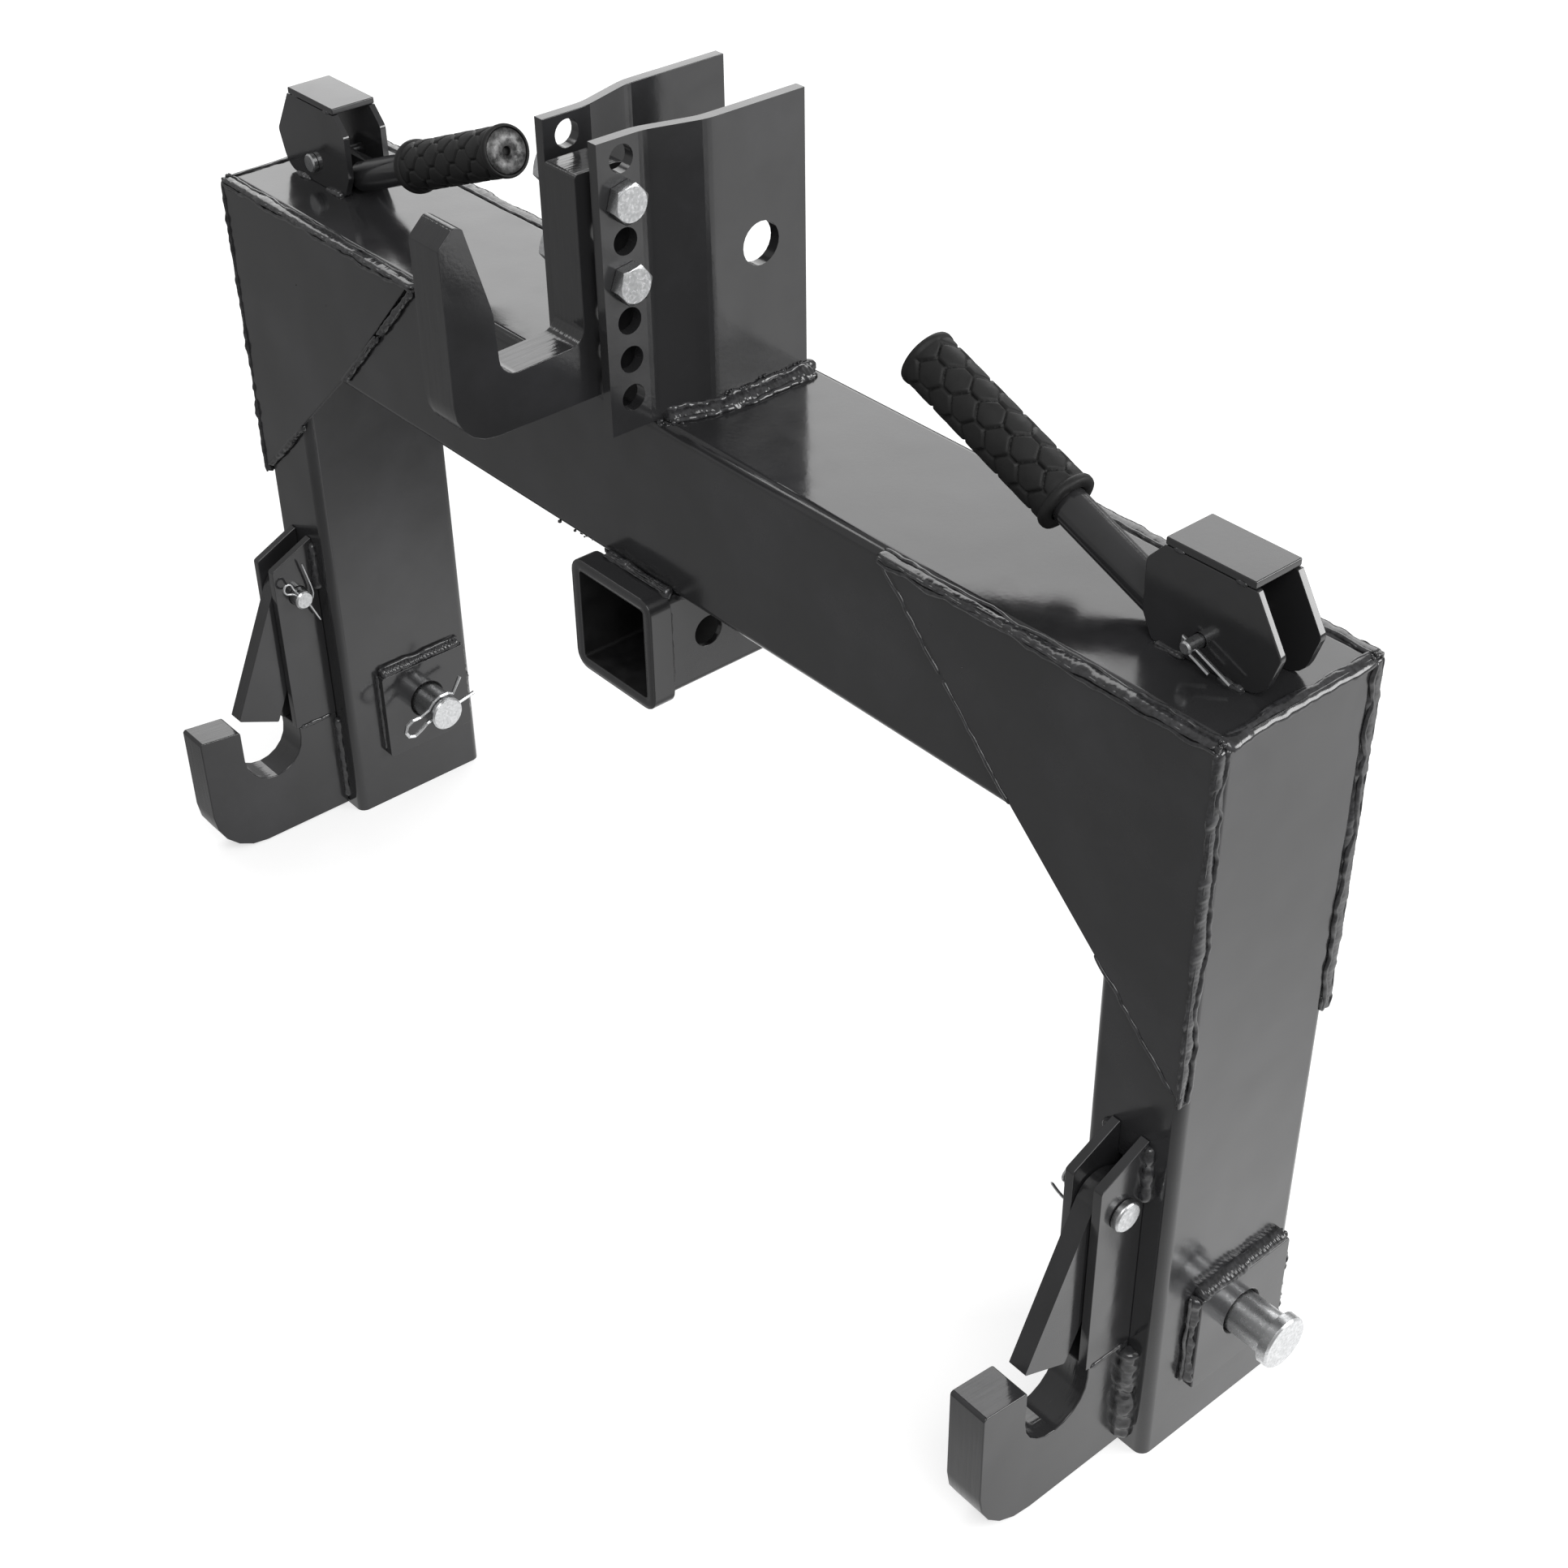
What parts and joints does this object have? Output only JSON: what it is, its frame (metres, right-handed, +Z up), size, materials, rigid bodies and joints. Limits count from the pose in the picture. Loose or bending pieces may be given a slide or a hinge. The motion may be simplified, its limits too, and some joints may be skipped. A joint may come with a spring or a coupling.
{
  "type": "three point quick hitch",
  "caption": "Welded U-shaped hitch frame with a top hook, latched lower hooks opened by rubber-gripped hand levers, headed link pins and a square receiver socket.",
  "frame": {"origin": "under the middle of the whole object, on the plane of the leg feet", "axes": "+X along the beam towards the right leg, -Y the side of the hooks, +Z up"},
  "size_m": [0.8012, 0.197, 0.5595],
  "materials": {
    "frame_paint": "glossy dark grey powder coat",
    "zinc_steel": "bright zinc plate",
    "grip_rubber": "matt black rubber",
    "spring_steel": "drawn spring wire, lightly oiled"
  },
  "bodies": {
    "frame": {"beam": "frame_paint", "top_hook": "frame_paint", "receiver_tube": "frame_paint", "receiver_collar": "frame_paint", "top_hook_bolt_upper": "zinc_steel", "top_hook_bolt_lower": "zinc_steel", "top_hook_nut_upper": "zinc_steel", "top_hook_nut_lower": "zinc_steel", "left_leg": "frame_paint", "left_front_gusset": "frame_paint", "left_back_gusset": "frame_paint", "left_mast_plate": "frame_paint", "left_lower_hook": "frame_paint", "left_latch_cheek_outer": "frame_paint", "left_latch_cheek_inner": "frame_paint", "left_boss_plate_outer": "frame_paint", "left_boss_plate_inner": "frame_paint", "left_housing_front_cheek": "frame_paint", "left_housing_back_cheek": "frame_paint", "left_housing_cap": "frame_paint", "left_spring_seat": "frame_paint", "left_latch_pin": "zinc_steel", "left_latch_pin_clip": "zinc_steel", "left_lever_pin": "zinc_steel", "left_lever_pin_clip": "zinc_steel", "left_return_spring": "spring_steel", "right_leg": "frame_paint", "right_front_gusset": "frame_paint", "right_back_gusset": "frame_paint", "right_mast_plate": "frame_paint", "right_lower_hook": "frame_paint", "right_latch_cheek_outer": "frame_paint", "right_latch_cheek_inner": "frame_paint", "right_boss_plate_outer": "frame_paint", "right_boss_plate_inner": "frame_paint", "right_housing_front_cheek": "frame_paint", "right_housing_back_cheek": "frame_paint", "right_housing_cap": "frame_paint", "right_spring_seat": "frame_paint", "right_latch_pin": "zinc_steel", "right_latch_pin_clip": "zinc_steel", "right_lever_pin": "zinc_steel", "right_lever_pin_clip": "zinc_steel", "right_return_spring": "spring_steel"},
    "left_lever": {"left_lever": "frame_paint", "left_lever_grip": "grip_rubber", "left_lever_end_disc": "zinc_steel"},
    "left_rod": {"left_pull_rod": "zinc_steel"},
    "left_latch": {"left_latch": "frame_paint"},
    "left_link_pin": {"left_link_pin": "zinc_steel", "left_link_pin_clip": "zinc_steel"},
    "right_lever": {"right_lever": "frame_paint", "right_lever_grip": "grip_rubber", "right_lever_end_disc": "zinc_steel"},
    "right_rod": {"right_pull_rod": "zinc_steel"},
    "right_latch": {"right_latch": "frame_paint"},
    "right_link_pin": {"right_link_pin": "zinc_steel", "right_link_pin_clip": "zinc_steel"}
  },
  "joints": [
    {"name": "left_lever_hinge", "type": "hinge", "parent": "frame", "child": "left_lever", "pos_m": [-0.3245, 0.04895, 0.4313], "axis": [0, -1, 0], "range_deg": [0, 36]},
    {"name": "left_rod_slide", "type": "slide", "parent": "frame", "child": "left_rod", "axis": [0, 0, 1], "range_m": [0, 0.0099], "stiffness_N_per_m": 6000, "springref_m": -0.0065, "deforming": ["left_return_spring"]},
    {"name": "left_latch_hinge", "type": "hinge", "parent": "frame", "child": "left_latch", "pos_m": [-0.3415, -0.01175, 0.1655], "axis": [1, 0, 0], "range_deg": [0, 23.6]},
    {"name": "left_link_pin_slide", "type": "slide", "parent": "frame", "child": "left_link_pin", "axis": [1, 0, 0], "range_m": [-0.0178, 0.0205]},
    {"name": "right_lever_hinge", "type": "hinge", "parent": "frame", "child": "right_lever", "pos_m": [0.3245, 0.04895, 0.4313], "axis": [0, 1, 0], "range_deg": [0, 36]},
    {"name": "right_rod_slide", "type": "slide", "parent": "frame", "child": "right_rod", "axis": [0, 0, 1], "range_m": [0, 0.0099], "stiffness_N_per_m": 6000, "springref_m": -0.0065, "deforming": ["right_return_spring"]},
    {"name": "right_latch_hinge", "type": "hinge", "parent": "frame", "child": "right_latch", "pos_m": [0.3415, -0.01175, 0.1655], "axis": [1, 0, 0], "range_deg": [0, 23.6]},
    {"name": "right_link_pin_slide", "type": "slide", "parent": "frame", "child": "right_link_pin", "axis": [1, 0, 0], "range_m": [-0.0205, 0.0178]}
  ],
  "couplings": [
    {"joint": "left_rod_slide", "follows": "left_lever_hinge", "m_per_rad": 0.015557},
    {"joint": "left_latch_hinge", "follows": "left_lever_hinge", "ratio": 0.65278},
    {"joint": "right_rod_slide", "follows": "right_lever_hinge", "m_per_rad": 0.015557},
    {"joint": "right_latch_hinge", "follows": "right_lever_hinge", "ratio": 0.65278}
  ]
}
